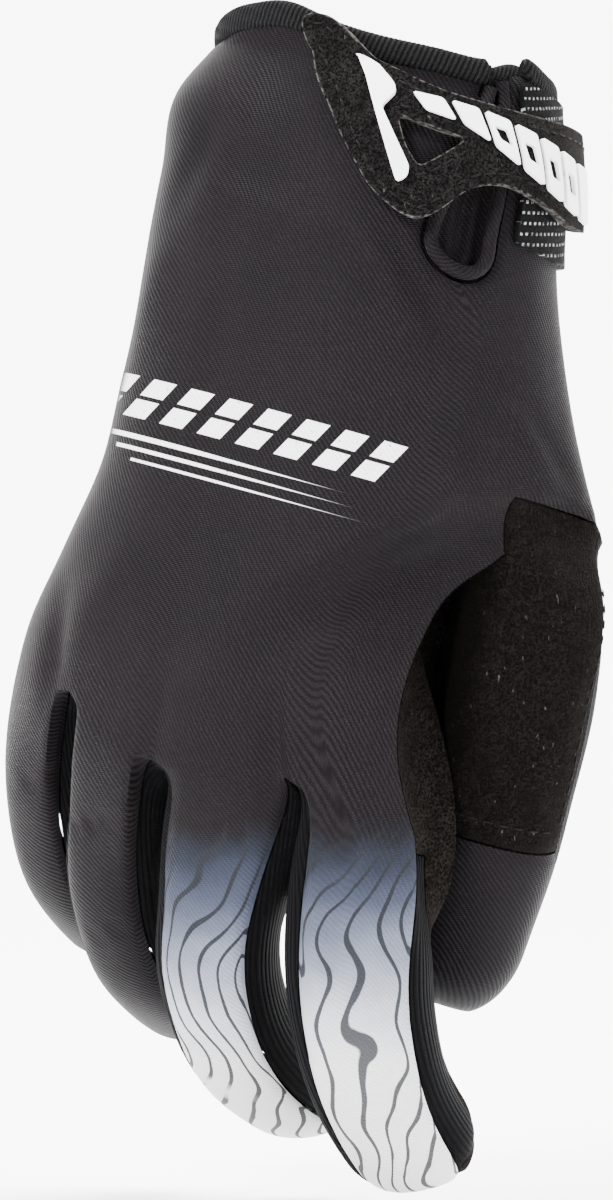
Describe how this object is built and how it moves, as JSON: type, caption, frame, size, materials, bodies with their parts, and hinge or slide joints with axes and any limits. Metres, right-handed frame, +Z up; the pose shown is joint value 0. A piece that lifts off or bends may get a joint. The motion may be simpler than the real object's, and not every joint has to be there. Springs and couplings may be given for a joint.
{
  "type": "glove",
  "caption": "Right-hand off-road riding glove, hollow, with parted fingers and thumb, an edged wrist slit and a raised closure tab round the cuff.",
  "frame": {"origin": "centre of the wrist opening, where the glove is held up", "axes": "+Z up out of the wrist opening, -Y the way the back of the hand faces, +X the thumb's side"},
  "size_m": [0.1186, 0.067, 0.223],
  "materials": {
    "stretch_twill": "black stretch twill with a soft sheen, fading to off-white on two fingers",
    "palm_suede": "brown-black synthetic suede, short fuzzy nap",
    "side_knit": "black ribbed stretch knit",
    "binding_knit": "dark grey knitted tape, ribbed",
    "tab_suede": "black suede-like sheet, stitched",
    "loop_mesh": "black loop cloth with pale speckles",
    "raised_rubber": "matt white moulded rubber"
  },
  "bodies": {
    "root": {"back_panel": "stretch_twill", "palm_panel": "palm_suede", "fourchette_little_ring": "side_knit", "fourchette_ring_middle": "side_knit", "fourchette_middle_index": "side_knit", "index_side": "side_knit", "thumb_back": "stretch_twill", "thumb_patch": "palm_suede", "thumb_palm": "palm_suede", "cuff_binding": "binding_knit", "slit_piping": "binding_knit", "slit_gusset": "stretch_twill", "loop_patch": "loop_mesh", "closure_tab": "tab_suede", "raised_wedge": "raised_rubber", "raised_bar_1": "raised_rubber", "raised_bar_2": "raised_rubber", "raised_bar_3": "raised_rubber", "raised_bar_4": "raised_rubber", "raised_bar_5": "raised_rubber", "raised_bar_6": "raised_rubber", "raised_bar_7": "raised_rubber"}
  },
  "joints": []
}
